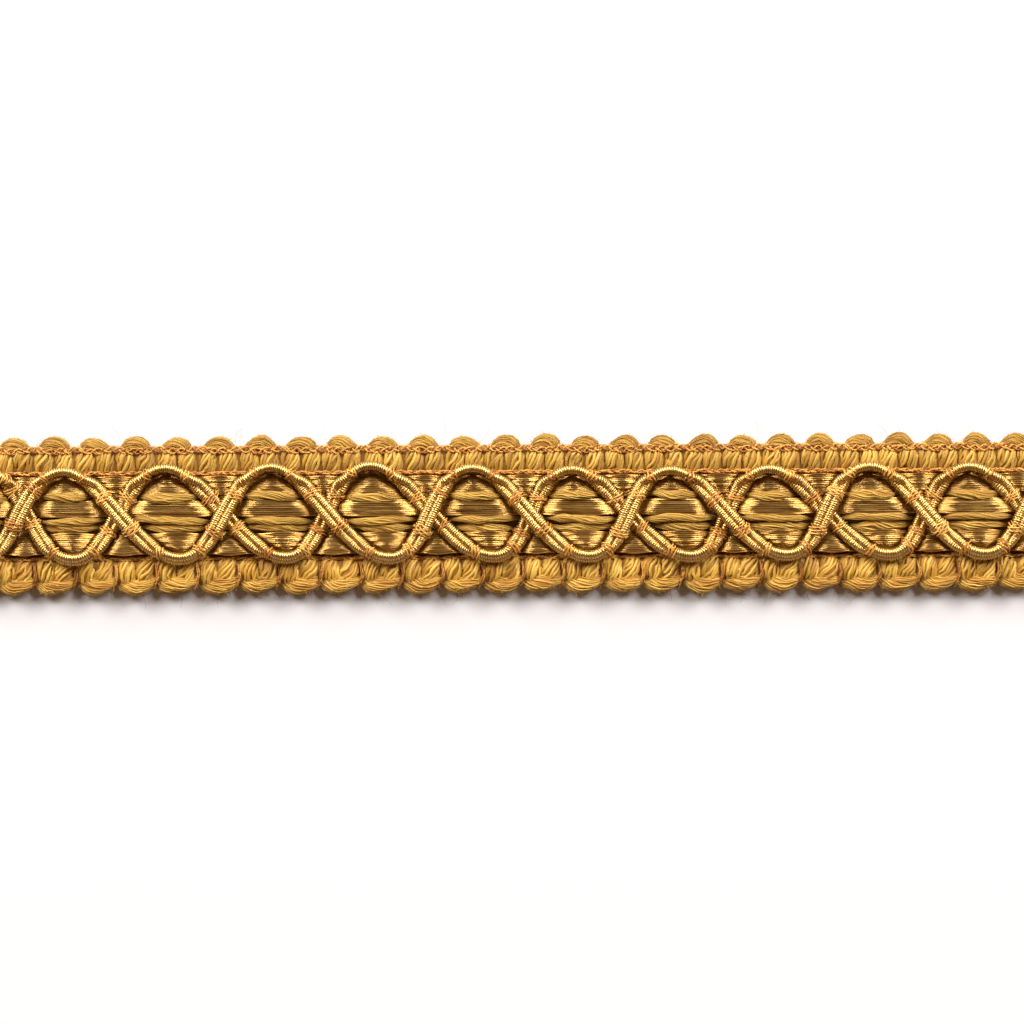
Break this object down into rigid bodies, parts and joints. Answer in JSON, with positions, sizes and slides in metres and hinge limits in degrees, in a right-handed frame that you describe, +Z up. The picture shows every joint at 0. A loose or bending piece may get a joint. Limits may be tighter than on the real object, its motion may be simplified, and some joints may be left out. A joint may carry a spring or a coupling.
{
  "type": "gimp braid trim",
  "caption": "Cut length of flat gimp braid: looped borders of ribbed soft yarn, satin strands along the middle, and wrapped cords that cross in a wave over them.",
  "frame": {"origin": "the middle of the flat back", "axes": "+X along the braid, +Y across it towards the border with the rounder loops, +Z up out of the face"},
  "size_m": [0.1064, 0.015, 0.0037],
  "materials": {
    "soft_yarn": "matt, low-twist yarn with a little fuzz",
    "satin_floss": "glossy untwisted floss",
    "gimp_wrap": "glossy thread wrapped closely round a core",
    "binding_thread": "fine matt sewing thread"
  },
  "bodies": {
    "root": {"braided_ground": "soft_yarn", "satin_strand_upper": "satin_floss", "satin_strand_middle": "satin_floss", "satin_strand_lower": "satin_floss", "soft_strand_upper": "soft_yarn", "soft_strand_lower": "soft_yarn", "binding_upper_edge": "binding_thread", "binding_upper_inner": "binding_thread", "binding_lower_inner": "binding_thread", "gimp_cord_under": "gimp_wrap", "gimp_cord_over": "gimp_wrap"}
  },
  "joints": []
}
